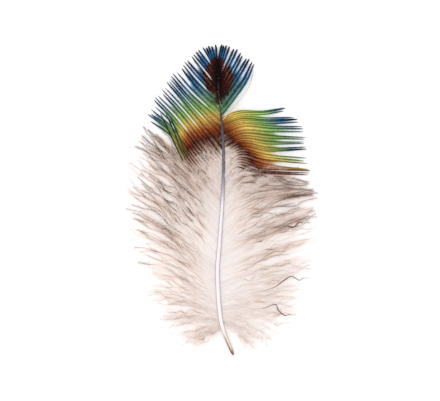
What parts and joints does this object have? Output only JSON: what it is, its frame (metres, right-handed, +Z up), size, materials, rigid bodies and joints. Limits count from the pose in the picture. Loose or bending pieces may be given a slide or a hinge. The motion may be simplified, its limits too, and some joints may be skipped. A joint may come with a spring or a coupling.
{
  "type": "peacock body feather",
  "caption": "Small peacock body feather lying face up: pale horn shaft, loose downy lower part and a parted, iridescent comb-like tip.",
  "frame": {"origin": "on the surface that the feather lies on, below the middle of the feather", "axes": "+Y along the shaft towards the coloured tip, +X to the right seen from above, +Z up, away from the surface"},
  "size_m": [0.049, 0.0807, 0.0031],
  "materials": {
    "horn": "satin",
    "iridescent_barbs": "satin",
    "downy_barbs": "matte"
  },
  "bodies": {
    "root": {"shaft": "horn", "left_vane": "iridescent_barbs", "right_tip_vane": "iridescent_barbs", "right_side_vane": "iridescent_barbs", "left_down": "downy_barbs", "right_down": "downy_barbs"}
  },
  "joints": []
}
